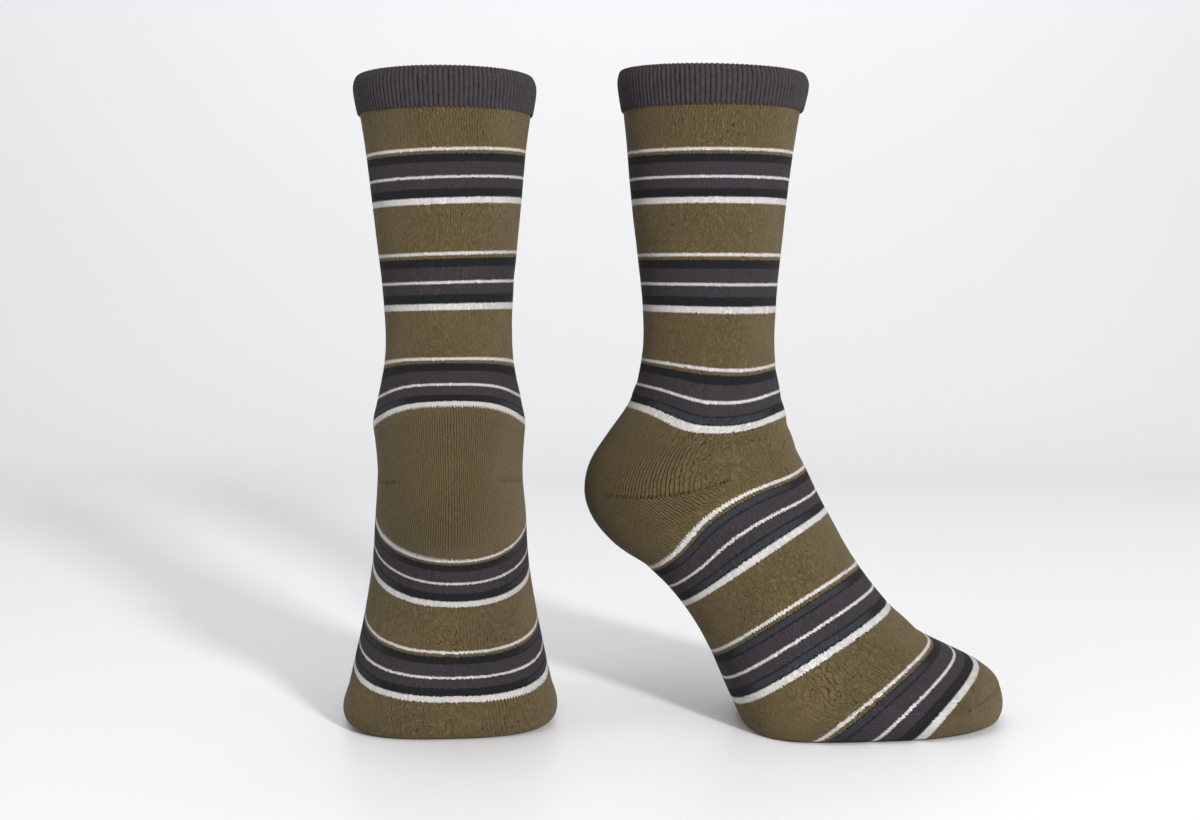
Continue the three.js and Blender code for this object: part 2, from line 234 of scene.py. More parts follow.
# Soft creases of the body, listed one by one. course and angle give the middle; long and wide are half sizes
# in mm, tilt turns the crease from the course's line, depth is into the cloth, below 0 a ridge.
creases = [
    {"course": 148, "angle": 8, "long": 17, "wide": 3.0, "tilt": 7, "depth": 0.35},
    {"course": 165, "angle": -9, "long": 22, "wide": 3.4, "tilt": -5, "depth": 0.5},
    {"course": 180, "angle": 5, "long": 25, "wide": 3.2, "tilt": 3, "depth": 0.6},
    {"course": 194, "angle": -7, "long": 19, "wide": 3.0, "tilt": 8, "depth": 0.4},
    {"course": 160, "angle": 172, "long": 15, "wide": 3.2, "tilt": 5, "depth": 0.35},
    {"course": 171, "angle": 187, "long": 20, "wide": 2.8, "tilt": -4, "depth": 0.45},
    {"course": 187, "angle": 78, "long": 9, "wide": 2.4, "tilt": 12, "depth": 0.6},
    {"course": 187, "angle": 281, "long": 10, "wide": 2.2, "tilt": -10, "depth": 0.55},
    {"course": 180, "angle": 86, "long": 2.4, "wide": 6.0, "tilt": 14, "depth": 0.5},
    {"course": 181, "angle": 273, "long": 2.2, "wide": 6.5, "tilt": -12, "depth": 0.55},
    {"course": 300, "angle": 28, "long": 14, "wide": 3.8, "tilt": 14, "depth": 0.4},
    {"course": 305, "angle": -21, "long": 18, "wide": 3.4, "tilt": -10, "depth": 0.5},
    {"course": 128, "angle": 118, "long": 13, "wide": 4.5, "tilt": 26, "depth": 0.3},
    {"course": 102, "angle": 252, "long": 15, "wide": 5.0, "tilt": -21, "depth": 0.3},
    {"course": 69, "angle": 62, "long": 16, "wide": 5.5, "tilt": 17, "depth": -0.3},
    {"course": 241, "angle": 214, "long": 13, "wide": 4.4, "tilt": 16, "depth": 0.35},
    {"course": 253, "angle": 141, "long": 12, "wide": 4.6, "tilt": -18, "depth": 0.35},
    {"course": 374, "angle": 62, "long": 7, "wide": 2.6, "tilt": 38, "depth": 0.7},
    {"course": 374, "angle": 299, "long": 8, "wide": 2.4, "tilt": -42, "depth": 0.7},
    {"course": 378, "angle": 40, "long": 6, "wide": 2.4, "tilt": 62, "depth": 0.35},
    {"course": 379, "angle": 322, "long": 5, "wide": 2.6, "tilt": -66, "depth": 0.4},
    {"course": 374, "angle": 267, "long": 3.6, "wide": 1.9, "tilt": 32, "depth": 0.5},
    {"course": 371, "angle": 259, "long": 3.0, "wide": 1.8, "tilt": -28, "depth": 0.45},
    {"course": 374, "angle": 94, "long": 3, "wide": 1.9, "tilt": -36, "depth": 0.45},
    {"course": 371, "angle": 101, "long": 3.2, "wide": 1.8, "tilt": 24, "depth": 0.4},
]
creaseReach = 16  # mm, keeps a crease on its own side of the tube
body = {
    "topCourse": -2.6,  # tucked into the cuff
    "columns": 148,
    # the mesh's rows: from one course to the next, and the step
    "rows": [(-2.6, 175, 1.7), (175, 203, 0.45), (203, 323, 1.6), (323, 355, 1.3), (355, 385, 0.6)],
    "wall": 1.2,  # mm
    "wales": 192,  # needles round the leg
    "rowHeight": 0.92,  # mm
    "heelFrom": 175,
    "goreCourse": 189,  # the heel's turning line
    "heelTo": 203,
    "toeFrom": 355,
    "seamCourses": (383.2, 385),  # where the toe's seam darkens
    "waver": [(55, 0.5), (19, 0.22), (6, 0.07)],  # size of the cloth's unevenness and its depth, mm
    "waverShift": (31.7, 11.3, 7.9),  # sets one size's noise apart from the next
    "calmToe": 4,  # courses before the toe's seam over which the cloth grows even
    "calmSole": 9,  # and the height over the floor, mm
    "legTilt": (55, 175),  # courses over which the stripes' tilt on the leg dies out
    "footTilt": (175, 215),  # and over which the one on the foot comes in
    "goreShown": (42, 54, 109, 112),  # degrees from the back's middle where the turning line comes and goes
    "pocketCourses": (9, 15),  # from the turning line, within which the heel's wales stand out
    "pocketSides": (84, 112),  # and how far round from the back's middle, in degrees
    "topCourses": (10, 26),  # under the cuff the wales stand out too, fading over these courses
    "topShown": 0.55,  # and by this share
    "sheenedBlackSides": (0.55, 0.85),  # how far round the side, as a sine, black stripes are painted lighter, as slate, for a painted sheen
    "sheenedBlackCourses": (160, 170, 335, 352),  # where along the sock they do
    "flat": (0.19, 0.47),
}
cuff = {
    "ribs": 120,
    "columnsPerRib": 8,
    "ribDepth": 0.85,
    "crestPower": 0.75,  # below 1 gives round crests and narrow valleys
    "ribMiddle": 0.55,  # share of a crest that lies on the section's line
    "ribUneven": 0.45,
    # the welt's closed section: course, distance off the loft, share of the rib's depth
    "section": [
        (-0.1, 0.0, 0.45), (-0.7, 0.5, 0.9), (-2.2, 0.75, 1), (-7, 0.75, 1), (-13, 0.7, 1), (-18.5, 0.6, 1),
        (-20.7, 0.35, 0.9), (-21.7, -0.2, 0.7), (-22, -0.9, 0.5), (-21.6, -1.6, 0.3), (-20.2, -2.05, 0.15),
        (-16, -2.15, 0.1), (-8, -1.9, 0.1), (-2, -1.7, 0), (-0.3, -1.5, 0), (0.1, -0.9, 0.1),
    ],
    "smoothing": 3,  # points between the section's own
    "rimTeeth": 0.35,  # how far the ribs stand up at the rim, mm
    "footTeeth": 0.6,  # and how far they reach down at the lower edge
    "rimCourses": (18, 22),  # over the leg's top, between which the rim's teeth come in
    "footCourses": (0, 3),  # and between which those of the lower edge die out
    "toothMiddle": 0.6,
    "toothUneven": 0.5,
    "flat": (0.25, 0.0235),
}


def waverAt(points):  # uneven cloth, the same on each run
    total = np.zeros(len(points))
    for k, (size, depth) in enumerate(body["waver"]):
        shift = Vector([step * k for step in body["waverShift"]])
        total += depth * np.array([noise.noise(Vector(p) / size + shift) for p in points])
    return total


def creaseAt(courses, angles, sock):
    here = skin(courses, angles, sock)
    total = np.zeros(len(courses))
    for crease in creases:
        course, angle = np.array([float(crease["course"])]), np.array([math.radians(crease["angle"])])
        middle = skin(course, angle, sock)[0]
        down = skin(course + 0.5, angle, sock)[0] - middle
        square = outward(course, angle, sock)[0]
        down /= np.linalg.norm(down)
        side = np.cross(square, down)
        tilt = math.radians(crease["tilt"])
        alongAxis = side * math.cos(tilt) + down * math.sin(tilt)
        wideAxis = down * math.cos(tilt) - side * math.sin(tilt)
        offset = here - middle
        along = offset @ alongAxis / crease["long"]
        wide = offset @ wideAxis / crease["wide"]
        through = offset @ square / creaseReach
        total -= crease["depth"] * np.exp(-(along**4) - wide**2 - through**4)
    return total


def bareGrid(name, columns, rows):  # a flat grid, with each vertex's row and column
    grid = bmesh.new()
    bmesh.ops.create_grid(grid, x_segments=columns, y_segments=rows, size=1)
    mesh = bpy.data.meshes.new(name)
    grid.to_mesh(mesh)
    grid.free()
    places = np.empty(len(mesh.vertices) * 3)
    mesh.vertices.foreach_get("co", places)
    places = places.reshape(-1, 3)
    column = np.rint((places[:, 0] + 1) / 2 * columns).astype(int)
    row = np.rint((places[:, 1] + 1) / 2 * rows).astype(int)
    return mesh, row, column


def loopVertices(mesh):
    ends = np.empty(len(mesh.loops), dtype=int)
    mesh.loops.foreach_get("vertex_index", ends)
    return ends


def addMap(mesh, name, values):
    layer = mesh.uv_layers.new(name=name)
    layer.uv.foreach_set("vector", np.ascontiguousarray(values, dtype=np.float32).ravel())


def addAttribute(mesh, name, kind, values):
    layer = mesh.attributes.new(name, kind, "POINT")
    key = "value" if kind == "FLOAT" else "vector"
    layer.data.foreach_set(key, np.ascontiguousarray(values, dtype=np.float32).ravel())


def closedPiece(name, mesh):  # its first and last columns are welded
    weld = 0.02 * mm
    shape = bmesh.new()
    shape.from_mesh(mesh)
    bmesh.ops.remove_doubles(shape, verts=shape.verts, dist=weld)
    bmesh.ops.recalc_face_normals(shape, faces=shape.faces)
    for face in shape.faces:
        face.smooth = True
    shape.to_mesh(mesh)
    shape.free()
    piece = bpy.data.objects.new(name, mesh)
    bpy.context.collection.objects.link(piece)
    return piece


def bodyCourses():
    runs = [np.linspace(a, b, round((b - a) / step) + 1)[:-1] for a, b, step in body["rows"]]
    return np.append(np.concatenate(runs), ringCourses[-1])


def lengthsDown(points, courses, start):  # along each column, from the start course, in mm
    steps = np.linalg.norm(np.diff(points, axis=0), axis=-1)
    run = np.concatenate([np.zeros((1, points.shape[1])), np.cumsum(steps, axis=0)])
    return run - run[np.argmin(np.abs(courses - start))]


def stripeCourses(grid, courses, sock):  # courses of even height between the lines where bands begin and end
    run = lengthsDown(grid, courses, courses[0])
    lines = np.array([body["topCourse"], *stripes["lines"], ringCourses[-1]])
    lie = lines + np.array(sock["stripeDrop"])
    even = np.empty_like(run)
    for k in range(run.shape[1]):
        even[:, k] = np.interp(run[:, k], np.interp(lie, courses, run[:, k]), lines)
    onLeg, onFoot = sock["stripeTilt"]
    tilt = onLeg * (1 - smoothStep(courses, *body["legTilt"]))
    tilt += onFoot * smoothStep(courses, *body["footTilt"])
    return even - tilt[:, None] * np.sin(np.linspace(0, 2 * math.pi, run.shape[1]))


def makeBody(name, sock):
    courses = bodyCourses()
    columns = body["columns"]
    mesh, row, column = bareGrid(name, columns, len(courses) - 1)
    angles = 2 * math.pi * column / columns
    course = courses[row]
    points = skin(course, angles, sock)
    fade = smoothStep(ringCourses[-1] - course, 0, body["calmToe"])
    fade *= smoothStep(points[:, 2], 0, body["calmSole"])
    relief = (waverAt(points) + creaseAt(course, angles, sock)) * fade
    points = points + outward(course, angles, sock) * relief[:, None]
    points[:, 2] = np.maximum(points[:, 2], 0)
    mesh.vertices.foreach_set("co", intoPlace(points, sock).ravel())

    # knitted rows: counted courses on the leg and foot, and real lengths where the heel and toe are shaped
    grid = np.empty((len(courses), columns + 1, 3))
    grid[row, column] = points
    counted = courses[:, None] + np.zeros(columns + 1)
    rowHeight = body["rowHeight"]
    fromLeg = body["heelFrom"] + lengthsDown(grid, courses, body["heelFrom"]) / rowHeight
    fromFoot = body["heelTo"] + lengthsDown(grid, courses, body["heelTo"]) / rowHeight
    fromToe = body["toeFrom"] + lengthsDown(grid, courses, body["toeFrom"]) / rowHeight
    zones = [
        (body["heelFrom"], counted), (body["goreCourse"], fromLeg), (body["heelTo"], fromFoot),
        (body["toeFrom"], counted), (ringCourses[-1] + 1, fromToe),
    ]
    ends = loopVertices(mesh)
    faceRow = np.repeat(row[ends].reshape(-1, 4).min(axis=1), 4)
    middle = (courses[faceRow] + courses[faceRow + 1]) / 2
    kinds = [kind[row[ends], column[ends]] for _, kind in zones]
    rows = np.select([middle < end for end, _ in zones], kinds)
    wales = column[ends] / columns * body["wales"]
    addMap(mesh, "knit", np.stack([wales, rows], axis=-1))
    addAttribute(mesh, "course", "FLOAT", stripeCourses(grid, courses, sock)[row, column])
    # where the black stripes get their painted sheen, as slate: at the sides and along part of the sock
    low, high = body["sheenedBlackSides"]
    begin, full, ending, end = body["sheenedBlackCourses"]
    sheenedBlack = smoothStep(np.abs(np.sin(angles)), low, high)
    sheenedBlack *= smoothStep(course, begin, full) * (1 - smoothStep(course, ending, end))
    addAttribute(mesh, "sheenedBlack", "FLOAT", sheenedBlack)
    addAttribute(mesh, "seam", "FLOAT", smoothStep(course, *body["seamCourses"]))
    offBack = np.abs(np.degrees(angles) - 180)
    # pocket: where the wales lie straight and their painted groove shade is deeper, at the heel and under
    # the cuff
    pocket = 1 - smoothStep(np.abs(course - body["goreCourse"]), *body["pocketCourses"])
    pocket *= 1 - smoothStep(offBack, *body["pocketSides"])
    pocket += body["topShown"] * (1 - smoothStep(course, *body["topCourses"]))
    addAttribute(mesh, "pocket", "FLOAT", pocket)

    # the heel's turning line: mm along it, mm across it, and how clearly it shows
    across = lengthsDown(grid, courses, body["goreCourse"])[row, column]
    line = grid[np.argmin(np.abs(courses - body["goreCourse"]))]
    run = np.concatenate([[0], np.cumsum(np.linalg.norm(np.diff(line, axis=0), axis=-1))])
    begin, full, ending, end = body["goreShown"]
    shown = smoothStep(offBack, begin, full) * (1 - smoothStep(offBack, ending, end))
    addAttribute(mesh, "gore", "FLOAT_VECTOR", np.stack([run[column], across, shown], axis=-1))
    piece = closedPiece(name, mesh)
    wall = piece.modifiers.new("wall", "SOLIDIFY")
    wall.thickness = body["wall"] * mm
    wall.offset = -1
    print("body", name, len(mesh.polygons), "faces")
    return piece


def makeCuff(name, sock):
    section = np.array(cuff["section"])
    count = len(section) * (cuff["smoothing"] + 1)
    finer = np.linspace(0, len(section), count + 1)
    closed = np.vstack([section, section[:1]])
    before, after = np.roll(section, 1, axis=0), np.roll(section, -1, axis=0)
    slopes = np.vstack([(after - before) / 2, ((after - before) / 2)[:1]])
    i = np.minimum(finer.astype(int), len(section) - 1)
    fine = cubic(closed[i], closed[i + 1], slopes[i], slopes[i + 1], 1, (finer - i)[:, None])
    columns = cuff["ribs"] * cuff["columnsPerRib"]
    mesh, row, column = bareGrid(name, columns, count)
    angles = 2 * math.pi * column / columns
    course, out, ribbed = fine[row].T
    phase = column / cuff["columnsPerRib"]
    crest = np.abs(np.cos(math.pi * phase)) ** cuff["crestPower"]
    uneven = np.array([noise.noise(Vector((round(p), 3.1, 0))) for p in phase])  # one for each rib
    rib = (crest - cuff["ribMiddle"]) * cuff["ribDepth"] * ribbed * (1 + cuff["ribUneven"] * uneven)
    points = skin(course, angles, sock) + outward(course, angles, sock) * (out + rib)[:, None]
    atRim = smoothStep(-course, *cuff["rimCourses"])
    atFoot = 1 - smoothStep(-course, *cuff["footCourses"])
    teeth = crest - cuff["toothMiddle"] + cuff["toothUneven"] * uneven
    points[:, 2] += (atRim * cuff["rimTeeth"] - atFoot * cuff["footTeeth"]) * teeth
    mesh.vertices.foreach_set("co", intoPlace(points, sock).ravel())
    addAttribute(mesh, "crest", "FLOAT", crest * ribbed)
    ends = loopVertices(mesh)
    grid = np.empty((count + 1, columns + 1, 3))
    grid[row, column] = points
    length = lengthsDown(grid[:, :1], np.arange(count + 1), 0)[row[ends], 0]
    addMap(mesh, "knit", np.stack([phase[ends] * 2, length / body["rowHeight"]], axis=-1))
    piece = closedPiece(name, mesh)
    print("cuff", name, len(mesh.polygons), "faces")
    return piece


# Yarn colours in daylight, 0 to 255; slate is the black yarn with a painted sheen, for the stripes' sides
yarns = {
    "olive": (88, 76, 50),
    "welt": (57, 53, 56),
    "charcoal": (54, 49, 53),
    "black": (25, 26, 29),
    "sheenedBlack": (50, 51, 56),
    "white": (197, 194, 191),
}
knitShows = {"olive": 1, "charcoal": 0.55, "black": 0.5, "sheenedBlack": 0.6, "white": 0.35}  # depth of the pattern
stripes = {
    "firstCourse": 23,
    "period": 60,
    "lines": [23, 55, 83, 115, 143, 175, 203, 235, 263, 295, 323, 355],  # where bands begin and end
    "lastCourse": 378,  # the toe's plain cap reads as this course
    # the colours of one band from its top, with the courses that each takes; slate is black with a painted
    # sheen at the sides
    "rows": [
        ("white", 1.55), ("olive", 1.8), ("black", 0.8), ("sheenedBlack", 3.1), ("black", 0.85), ("charcoal", 7.8),
        ("white", 1.4), ("charcoal", 5.9), ("black", 0.9), ("sheenedBlack", 3.3), ("black", 0.8), ("white", 3.6),
        ("olive", 28.2),
    ],
    "toothCourses": 0.9,  # how far a stitch's point reaches into the next colour
    "fuzzCourses": 0.55,  # and how far loose fibres do
}
stitch = {"slant": 0.6, "roundness": 0.6, "rowShare": 0.6}  # the V of a stitch, and how far its row shows
knitFinish = {
    # how often each unevenness repeats in a metre
    "noises": {
        "stray": 300, "loose": 60, "fuzz": 1100, "worms": 900, "clear": 50, "broken": 420, "clouds": 28,
    },
    "wander": (0.7, 4.5),  # how strongly the wales stray, where they lie straight and where they meander
    "grooveShade": 0.62,  # painted shade between wales
    "heelGrooveShade": 0.9,  # and in the heel's pocket
    "grooveWidth": (0.45, 0.9),  # from a wale's middle, at 0, to the next wale, at 1
    "clearLeast": 0.55,  # the wales show more clearly in places
    "brokenLeast": 0.25,  # and each groove only for a while
    "pocketLeast": 0.95,  # but nearly everywhere in the heel's pocket
    "top": 1.08,  # shade of a wale's middle, a painted light on the raised wale
    "strokeSteps": (1.3, 0.36),  # strokes for each wale and for each row
    "strokes": (0.84, 1.14),  # darkest and lightest of the short strokes along the wales
    "mottle": (0.92, 1.1),
    "clouds": (0.93, 1.07),
    "seam": 0.4,  # darkening in the toe's seam
    "rowShade": 0.12,
    "strokeRelief": 1.2,
    "bumpMm": 0.3,
    "roughness": 0.95,
    "sheen": (0.01, 0.12),  # of the stripes and of the olive yarn
}
cuffFinish = {
    "valley": 0.78,  # painted shade between ribs
    "valleyStrokes": (1.1, 0.45),  # where the strokes make it more or less
    "top": 1.02,
    "crest": 0.4,  # painted highlight: lighter strokes on the ribs' crests
    "strokeSteps": (0.5, 0.2),
    "mottlePerM": 800,
    "mottle": (0.84, 1.16),
    # painted shade between the stitches' rows, lighter on their tops
    "rows": (0.88, 1.08),
    "bumpMm": 0.22,
    "roughness": 0.95,
    "sheen": 0.03,
}
goreFinish = {
    "pitchMm": 1.9,
    "holeMm": 0.52,
    "holeEdge": (0.5, 1.5),  # a hole's dark middle and its soft end, in hole sizes; the dark is painted shade
    "scatter": (0.3, 0.35),  # each hole's place in its pitch: how far it varies, and the least
    "weight": (0.7, 0.45),  # and how dark its painted shade is
    "slant": 0.5,
    "stretch": 0.5,
    # the holes' painted shade at its deepest
    "dark": 0.85,
    "dipMm": 1.6,  # half the width of the dip round the line
    "dip": 0.5,
}
yarnFinish = {"specular": 0.2, "sheenRoughness": 0.4, "sheenTint": (1, 0.86, 0.6, 1)}


def linear(colour):
    parts = [c / 255 for c in colour]
    return [p / 12.92 if p <= 0.04045 else ((p + 0.055) / 1.055) ** 2.4 for p in parts] + [1]


class Shader:  # short ways to add nodes to one material
    def __init__(self, name):
        self.material = bpy.data.materials.new(name)
        self.material.use_nodes = True
        self.tree = self.material.node_tree
        self.surface = self.tree.nodes["Principled BSDF"]

    def add(self, kind, inputs=(), **settings):
        node = self.tree.nodes.new(kind)
        for key, value in settings.items():
            setattr(node, key, value)
        for key, value in dict(inputs).items():
            self.plug(value, node.inputs[key])
        return node

    def plug(self, value, socket):
        if isinstance(value, bpy.types.NodeSocket):
            self.tree.links.new(value, socket)
        else:
            socket.default_value = value

    def math(self, operation, *values):
        return self.add("ShaderNodeMath", enumerate(values), operation=operation).outputs[0]

    def named(self, attribute, output="Fac"):
        return self.add("ShaderNodeAttribute", attribute_name=attribute).outputs[output]

    def ramp(self, value, low, high, toLow=0, toHigh=1):
        span = {"Value": value, "From Min": low, "From Max": high, "To Min": toLow, "To Max": toHigh}
        node = self.add("ShaderNodeMapRange", span, interpolation_type="SMOOTHSTEP")
        return node.outputs["Result"]

    def noise(self, coordinates, perMetre, detail=2, roughness=0.5):
        inputs = {"Vector": coordinates, "Scale": perMetre, "Detail": detail, "Roughness": roughness}
        return self.add("ShaderNodeTexNoise", inputs).outputs["Fac"]

    def mix(self, factor, first, second, blend="MIX"):
        node = self.add("ShaderNodeMix", data_type="RGBA", blend_type=blend)
        self.plug(factor, node.inputs[0])
        self.plug(first, node.inputs[6])
        self.plug(second, node.inputs[7])
        return node.outputs[2]

    def shade(self, colour, amount):  # colour times a grey amount
        grey = self.add("ShaderNodeCombineColor", {0: amount, 1: amount, 2: amount}).outputs[0]
        return self.mix(1.0, colour, grey, "MULTIPLY")

    def bump(self, height, distance):
        node = self.add("ShaderNodeBump", {"Height": height, "Distance": distance, "Strength": 1})
        return node.outputs["Normal"]

    def finish(self, colour, normal, roughness, sheen):
        self.plug(colour, self.surface.inputs["Base Color"])
        self.plug(normal, self.surface.inputs["Normal"])
        self.plug(sheen, self.surface.inputs["Sheen Weight"])
        self.surface.inputs["Roughness"].default_value = roughness
        self.surface.inputs["Specular IOR Level"].default_value = yarnFinish["specular"]
        self.surface.inputs["Sheen Roughness"].default_value = yarnFinish["sheenRoughness"]
        self.surface.inputs["Sheen Tint"].default_value = yarnFinish["sheenTint"]
        return self.material


def stitchParts(s, place, straight):  # position in the knitting: wale, row, and how near the next wale is
    uv = s.add("ShaderNodeUVMap", uv_map="knit").outputs["UV"]
    parts = s.add("ShaderNodeSeparateXYZ", {"Vector": uv})
    noises = knitFinish["noises"]
    stray = s.math("SUBTRACT", s.noise(place, noises["stray"], 1), 0.5)
    loose = s.ramp(s.noise(place, noises["loose"]), 0.36, 0.6, *knitFinish["wander"])
    loose = s.math("MULTIPLY", loose, s.math("SUBTRACT", 1, straight))
    wale = s.math("MULTIPLY_ADD", stray, s.math("ADD", loose, knitFinish["wander"][0]), parts.outputs["X"])
    rows = parts.outputs["Y"]
    centred = s.math("SUBTRACT", s.math("FRACT", wale), 0.5)
    tooth = s.math("MULTIPLY", s.math("ABSOLUTE", centred), 2)  # 0 on a wale's middle, 1 between wales
    return wale, rows, tooth


def stitchHeight(s, wale, rows, tooth):
    arm = s.math("FRACT", s.math("MULTIPLY", wale, 2))
    armRound = s.math("SINE", s.math("MULTIPLY", arm, math.pi))
    slanted = s.math("FRACT", s.math("SUBTRACT", rows, s.math("MULTIPLY", tooth, stitch["slant"])))
    rowRound = s.math("SINE", s.math("MULTIPLY", slanted, math.pi))
    shown = s.math("MULTIPLY_ADD", rowRound, stitch["rowShare"], 1 - stitch["rowShare"])
    return s.math("MULTIPLY", s.math("POWER", armRound, stitch["roundness"]), shown)


def strokesAlong(s, wale, rows, steps):  # short irregular strokes that follow the wales
    across, along = steps
    stretched = s.add("ShaderNodeCombineXYZ", {
        "X": s.math("MULTIPLY", wale, across), "Y": s.math("MULTIPLY", rows, along),
    })
    return s.noise(stretched.outputs["Vector"], 1, 3, 0.6)


def bandRamp(s, turns, valueOf):  # one value for each colour of the band, sharp between them
    band = s.add("ShaderNodeValToRGB", {"Fac": turns})
    band.color_ramp.interpolation = "CONSTANT"
    stops = band.color_ramp.elements
    start = 0
    for k, (yarn, count) in enumerate(stripes["rows"]):
        stop = stops[k] if k < 2 else stops.new(start / stripes["period"])
        stop.position = start / stripes["period"]
        stop.color = valueOf(yarn)
        start += count
    return band.outputs["Color"]


def bandPosition(s, tooth, fuzz):  # 0 to 1 down one band and the plain knitting after it
    course = s.named("course")
    jag = s.math("MULTIPLY", s.math("SUBTRACT", tooth, 0.5), stripes["toothCourses"])
    stray = s.math("MULTIPLY", s.math("SUBTRACT", fuzz, 0.5), stripes["fuzzCourses"] * 2)
    jagged = s.math("ADD", s.math("ADD", course, jag), stray)
    held = s.math("MINIMUM", jagged, stripes["lastCourse"])
    turns = s.math("DIVIDE", s.math("SUBTRACT", held, stripes["firstCourse"]), stripes["period"])
    return s.math("FRACT", turns)


def turningLine(s):  # the row of small holes where the heel pocket was turned, painted dark with the shade in them, and the dip round them
    gore = s.add("ShaderNodeSeparateXYZ", {"Vector": s.named("gore", "Vector")})
    along, across, shown = gore.outputs["X"], gore.outputs["Y"], gore.outputs["Z"]
    pitch = goreFinish["pitchMm"]
    slanted = s.math("MULTIPLY_ADD", across, goreFinish["slant"], along)
    turns = s.math("DIVIDE", slanted, pitch)
    chance = s.add("ShaderNodeTexWhiteNoise", {"W": s.math("FLOOR", turns)}, noise_dimensions="1D")
    number = chance.outputs["Value"]
    middle = s.math("MULTIPLY_ADD", number, *goreFinish["scatter"])
    inTurn = s.math("SUBTRACT", s.math("FRACT", turns), middle)
    alongMm = s.math("MULTIPLY", inTurn, pitch)
    acrossMm = s.math("MULTIPLY", across, goreFinish["stretch"])
    away = s.math("SQRT", s.math("ADD", s.math("POWER", alongMm, 2), s.math("POWER", acrossMm, 2)))
    weight = s.math("MULTIPLY", shown, s.math("MULTIPLY_ADD", number, *goreFinish["weight"]))
    inner, outer = (goreFinish["holeMm"] * share for share in goreFinish["holeEdge"])
    hole = s.math("MULTIPLY", s.ramp(away, inner, outer, 1, 0), weight)
    lowered = s.ramp(s.math("ABSOLUTE", across), 0, goreFinish["dipMm"], -goreFinish["dip"], 0)
    return hole, s.math("MULTIPLY", lowered, shown)


def bodyKnit():
    s = Shader("striped_knit")
    place = s.add("ShaderNodeTexCoord").outputs["Object"]
    noises = knitFinish["noises"]
    pocket = s.named("pocket")
    wale, rows, tooth = stitchParts(s, place, pocket)
    height = stitchHeight(s, wale, rows, tooth)
    fuzz = s.noise(place, noises["fuzz"], 2, 0.6)
    position = bandPosition(s, tooth, fuzz)
    # black for the slate rows, and beside it their painted sheen as slate, mixed in at the sides
    plain = bandRamp(s, position, lambda yarn: linear(yarns["black" if yarn == "sheenedBlack" else yarn]))
    sheenedColour = bandRamp(s, position, lambda yarn: linear(yarns[yarn]))
    shows = bandRamp(s, position, lambda yarn: [knitShows[yarn]] * 3 + [1])
    colour = s.mix(s.named("sheenedBlack"), plain, sheenedColour)

    strokes = strokesAlong(s, wale, rows, knitFinish["strokeSteps"])
    worms = s.noise(place, noises["worms"], 2, 0.55)
    clear = s.ramp(s.noise(place, noises["clear"]), 0.38, 0.6, knitFinish["clearLeast"], 1)
    broken = s.ramp(s.noise(place, noises["broken"]), 0.36, 0.52, knitFinish["brokenLeast"], 1)
    inPocket = s.math("MULTIPLY", pocket, knitFinish["pocketLeast"])
    broken = s.math("MAXIMUM", s.math("MULTIPLY", clear, broken), inPocket)
    # painted shade between the wales, deeper in the heel's pocket, and painted light on their middles
    shallow = knitFinish["grooveShade"]
    deep = s.math("MULTIPLY_ADD", pocket, knitFinish["heelGrooveShade"] - shallow, shallow)
    between = s.ramp(tooth, *knitFinish["grooveWidth"])
    grooveShade = s.math("MULTIPLY", between, s.math("MULTIPLY", broken, deep))
    pattern = s.math("SUBTRACT", knitFinish["top"], grooveShade)
    pattern = s.math("MULTIPLY", pattern, s.ramp(strokes, 0.3, 0.68, *knitFinish["strokes"]))
    pattern = s.math("MULTIPLY", pattern, s.ramp(worms, 0.3, 0.7, *knitFinish["mottle"]))
    pattern = s.math("MULTIPLY", pattern, s.ramp(height, 0.1, 0.9, 1 - knitFinish["rowShade"], 1.05))
    depth = s.math("MULTIPLY", s.math("SUBTRACT", pattern, 1), shows)
    colour = s.shade(colour, s.math("ADD", 1, depth))
    clouds = s.ramp(s.noise(place, noises["clouds"]), 0.25, 0.75, *knitFinish["clouds"])
    colour = s.shade(colour, clouds)

    hole, dip = turningLine(s)
    # painted shade in the turning line's holes
    colour = s.shade(colour, s.math("SUBTRACT", 1, s.math("MULTIPLY", hole, goreFinish["dark"])))
    seam = s.math("MULTIPLY", s.named("seam"), knitFinish["seam"])
    colour = s.shade(colour, s.math("SUBTRACT", 1, seam))
    loft = s.math("MULTIPLY_ADD", strokes, knitFinish["strokeRelief"], height)
    loft = s.math("ADD", loft, s.math("SUBTRACT", dip, hole))
    normal = s.bump(loft, knitFinish["bumpMm"] * mm)
    sheen = s.ramp(shows, 0.6, 1, *knitFinish["sheen"])
    return s.finish(colour, normal, knitFinish["roughness"], sheen)


